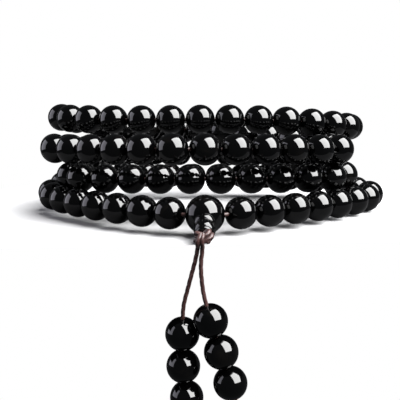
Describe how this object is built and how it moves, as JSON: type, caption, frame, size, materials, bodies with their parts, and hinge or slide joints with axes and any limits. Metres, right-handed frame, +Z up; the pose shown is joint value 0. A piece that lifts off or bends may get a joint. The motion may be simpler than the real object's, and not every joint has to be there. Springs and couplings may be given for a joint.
{
  "type": "mala prayer beads",
  "caption": "Strand of round polished black stone prayer beads coiled in flattened turns, with a guru bead, ringed stupa and two knotted beaded tails.",
  "frame": {"origin": "in the plane that the coil's bottom turn rests on, under the middle of the coil", "axes": "+Z up, -Y towards the guru bead and its tails, +X to the right of someone facing the guru"},
  "size_m": [0.1029, 0.0924, 0.0766],
  "materials": {
    "stone": "polished",
    "cord": "satin"
  },
  "bodies": {
    "strand": {"main_cord": "cord", "beads_013_to_016": "stone", "beads_017_to_020": "stone", "beads_021_to_024": "stone", "beads_025_to_028": "stone", "beads_029_to_032": "stone", "beads_033_to_036": "stone", "beads_037_to_040": "stone", "beads_041_to_044": "stone", "beads_045_to_048": "stone", "beads_049_to_052": "stone", "beads_053_to_056": "stone", "beads_057_to_060": "stone", "beads_061_to_064": "stone", "beads_065_to_068": "stone", "beads_069_to_072": "stone", "beads_073_to_076": "stone", "beads_077_to_080": "stone", "beads_081_to_084": "stone", "beads_085_to_088": "stone", "beads_089_to_092": "stone", "beads_093_to_096": "stone"},
    "bead_001": {"bead_001": "stone"},
    "bead_002": {"bead_002": "stone"},
    "bead_003": {"bead_003": "stone"},
    "bead_004": {"bead_004": "stone"},
    "bead_005": {"bead_005": "stone"},
    "bead_006": {"bead_006": "stone"},
    "bead_007": {"bead_007": "stone"},
    "bead_008": {"bead_008": "stone"},
    "bead_009": {"bead_009": "stone"},
    "bead_010": {"bead_010": "stone"},
    "bead_011": {"bead_011": "stone"},
    "bead_012": {"bead_012": "stone"},
    "bead_097": {"bead_097": "stone"},
    "bead_098": {"bead_098": "stone"},
    "bead_099": {"bead_099": "stone"},
    "bead_100": {"bead_100": "stone"},
    "bead_101": {"bead_101": "stone"},
    "bead_102": {"bead_102": "stone"},
    "bead_103": {"bead_103": "stone"},
    "bead_104": {"bead_104": "stone"},
    "bead_105": {"bead_105": "stone"},
    "bead_106": {"bead_106": "stone"},
    "bead_107": {"bead_107": "stone"},
    "bead_108": {"bead_108": "stone"},
    "guru": {"guru_bead": "stone", "doubled_cord": "cord"},
    "stupa": {"stupa": "stone"},
    "knot": {"knot": "cord"},
    "tail_left": {"tail_cord_left": "cord", "tail_left_end_knot": "cord"},
    "tail_left_bead_1": {"tail_left_bead_1": "stone"},
    "tail_left_bead_2": {"tail_left_bead_2": "stone"},
    "tail_left_bead_3": {"tail_left_bead_3": "stone"},
    "tail_right": {"tail_cord_right": "cord", "tail_right_end_knot": "cord"},
    "tail_right_bead_1": {"tail_right_bead_1": "stone"},
    "tail_right_bead_2": {"tail_right_bead_2": "stone"},
    "tail_right_bead_3": {"tail_right_bead_3": "stone"}
  },
  "joints": [
    {"name": "bead_001_spin", "type": "hinge", "parent": "strand", "child": "bead_001", "pos_m": [0.01066, -0.00579, 0.00536], "axis": [0.9383, 0.3453, -0.0191], "continuous": true},
    {"name": "bead_002_spin", "type": "hinge", "parent": "strand", "child": "bead_002", "pos_m": [0.01796, -0.00238, 0.00517], "axis": [0.8841, 0.4666, -0.0235], "continuous": true},
    {"name": "bead_003_spin", "type": "hinge", "parent": "strand", "child": "bead_003", "pos_m": [0.0249, 0.00173, 0.00498], "axis": [0.8391, 0.5434, -0.0253], "continuous": true},
    {"name": "bead_004_spin", "type": "hinge", "parent": "strand", "child": "bead_004", "pos_m": [0.03148, 0.00638, 0.00477], "axis": [0.7916, 0.6104, -0.0262], "continuous": true},
    {"name": "bead_005_spin", "type": "hinge", "parent": "strand", "child": "bead_005", "pos_m": [0.03766, 0.01156, 0.00455], "axis": [0.7345, 0.6781, -0.0265], "continuous": true},
    {"name": "bead_006_spin", "type": "hinge", "parent": "strand", "child": "bead_006", "pos_m": [0.04332, 0.01731, 0.00434], "axis": [0.6572, 0.7533, -0.0258], "continuous": true},
    {"name": "bead_007_spin", "type": "hinge", "parent": "strand", "child": "bead_007", "pos_m": [0.04824, 0.02369, 0.00414], "axis": [0.494, 0.8692, -0.0208], "continuous": true},
    {"name": "bead_008_spin", "type": "hinge", "parent": "strand", "child": "bead_008", "pos_m": [0.05121, 0.03119, 0.00401], "axis": [0.0585, 0.9982, 0.0164], "continuous": true},
    {"name": "bead_009_spin", "type": "hinge", "parent": "strand", "child": "bead_009", "pos_m": [0.04913, 0.03897, 0.00439], "axis": [-0.4302, 0.9, 0.0698], "continuous": true},
    {"name": "bead_010_spin", "type": "hinge", "parent": "strand", "child": "bead_010", "pos_m": [0.04439, 0.04545, 0.00511], "axis": [-0.6957, 0.7122, 0.0942], "continuous": true},
    {"name": "bead_011_spin", "type": "hinge", "parent": "strand", "child": "bead_011", "pos_m": [0.03803, 0.05035, 0.00589], "axis": [-0.8511, 0.5171, 0.0909], "continuous": true},
    {"name": "bead_012_spin", "type": "hinge", "parent": "strand", "child": "bead_012", "pos_m": [0.03074, 0.05374, 0.00657], "axis": [-0.9389, 0.3365, 0.0718], "continuous": true},
    {"name": "bead_097_spin", "type": "hinge", "parent": "strand", "child": "bead_097", "pos_m": [-0.02652, 0.05827, 0.01571], "axis": [-0.8157, -0.4589, -0.3522], "continuous": true},
    {"name": "bead_098_spin", "type": "hinge", "parent": "strand", "child": "bead_098", "pos_m": [-0.03274, 0.05409, 0.01273], "axis": [-0.717, -0.5882, -0.374], "continuous": true},
    {"name": "bead_099_spin", "type": "hinge", "parent": "strand", "child": "bead_099", "pos_m": [-0.03803, 0.04882, 0.0097], "axis": [-0.5783, -0.7348, -0.3544], "continuous": true},
    {"name": "bead_100_spin", "type": "hinge", "parent": "strand", "child": "bead_100", "pos_m": [-0.042, 0.04232, 0.00705], "axis": [-0.37, -0.892, -0.2597], "continuous": true},
    {"name": "bead_101_spin", "type": "hinge", "parent": "strand", "child": "bead_101", "pos_m": [-0.04392, 0.03463, 0.00557], "axis": [0.0195, -0.9948, -0.0997], "continuous": true},
    {"name": "bead_102_spin", "type": "hinge", "parent": "strand", "child": "bead_102", "pos_m": [-0.0417, 0.02688, 0.0055], "axis": [0.4126, -0.9109, -0.0041], "continuous": true},
    {"name": "bead_103_spin", "type": "hinge", "parent": "strand", "child": "bead_103", "pos_m": [-0.03734, 0.02009, 0.0055], "axis": [0.5924, -0.8056, 0], "continuous": true},
    {"name": "bead_104_spin", "type": "hinge", "parent": "strand", "child": "bead_104", "pos_m": [-0.03216, 0.01391, 0.0055], "axis": [0.6767, -0.7362, 0], "continuous": true},
    {"name": "bead_105_spin", "type": "hinge", "parent": "strand", "child": "bead_105", "pos_m": [-0.02644, 0.00823, 0.0055], "axis": [0.7399, -0.6727, 0], "continuous": true},
    {"name": "bead_106_spin", "type": "hinge", "parent": "strand", "child": "bead_106", "pos_m": [-0.02024, 0.00307, 0.0055], "axis": [0.7963, -0.6049, 0], "continuous": true},
    {"name": "bead_107_spin", "type": "hinge", "parent": "strand", "child": "bead_107", "pos_m": [-0.0136, -0.00152, 0.0055], "axis": [0.8503, -0.5263, 0], "continuous": true},
    {"name": "bead_108_spin", "type": "hinge", "parent": "strand", "child": "bead_108", "pos_m": [-0.00654, -0.00541, 0.0055], "axis": [0.9182, -0.3961, 0], "continuous": true},
    {"name": "guru_roll", "type": "hinge", "parent": "strand", "child": "guru", "pos_m": [0.002, -0.00825, 0.0055], "axis": [-0.9997, 0.0222, 0.0084], "range_deg": [0, 75]},
    {"name": "stupa_spin", "type": "hinge", "parent": "guru", "child": "stupa", "pos_m": [0.002, -0.00825, 0.0055], "axis": [-0.0252, -0.9633, -0.2672], "continuous": true},
    {"name": "knot_swing", "type": "hinge", "parent": "guru", "child": "knot", "pos_m": [0.00172, -0.01894, 0.00253], "axis": [-1, 0, 0], "range_deg": [-25, 15]},
    {"name": "tail_left_swing", "type": "hinge", "parent": "knot", "child": "tail_left", "pos_m": [0.00022, -0.02064, 0.00048], "axis": [0, 1, 0], "range_deg": [0, 45]},
    {"name": "tail_left_bead_1_spin", "type": "hinge", "parent": "tail_left", "child": "tail_left_bead_1", "pos_m": [-0.00373, -0.01574, -0.02117], "axis": [-0.0179, 0.1252, -0.992], "continuous": true},
    {"name": "tail_left_bead_2_spin", "type": "hinge", "parent": "tail_left", "child": "tail_left_bead_2", "pos_m": [-0.00368, -0.01524, -0.0292], "axis": [0.0435, 0.0652, -0.9969], "continuous": true},
    {"name": "tail_left_bead_3_spin", "type": "hinge", "parent": "tail_left", "child": "tail_left_bead_3", "pos_m": [-0.00303, -0.01469, -0.03721], "axis": [0.0806, 0.068, -0.9944], "continuous": true},
    {"name": "tail_right_swing", "type": "hinge", "parent": "knot", "child": "tail_right", "pos_m": [0.00122, -0.02134, 0.00063], "axis": [0, -1, 0], "range_deg": [0, 45]},
    {"name": "tail_right_bead_1_spin", "type": "hinge", "parent": "tail_right", "child": "tail_right_bead_1", "pos_m": [0.00282, -0.01854, -0.01717], "axis": [0.2663, 0.099, -0.9588], "continuous": true},
    {"name": "tail_right_bead_2_spin", "type": "hinge", "parent": "tail_right", "child": "tail_right_bead_2", "pos_m": [0.00516, -0.01799, -0.02485], "axis": [0.2733, 0.0683, -0.9595], "continuous": true},
    {"name": "tail_right_bead_3_spin", "type": "hinge", "parent": "tail_right", "child": "tail_right_bead_3", "pos_m": [0.00722, -0.01744, -0.03261], "axis": [0.2552, 0.0684, -0.9645], "continuous": true}
  ]
}
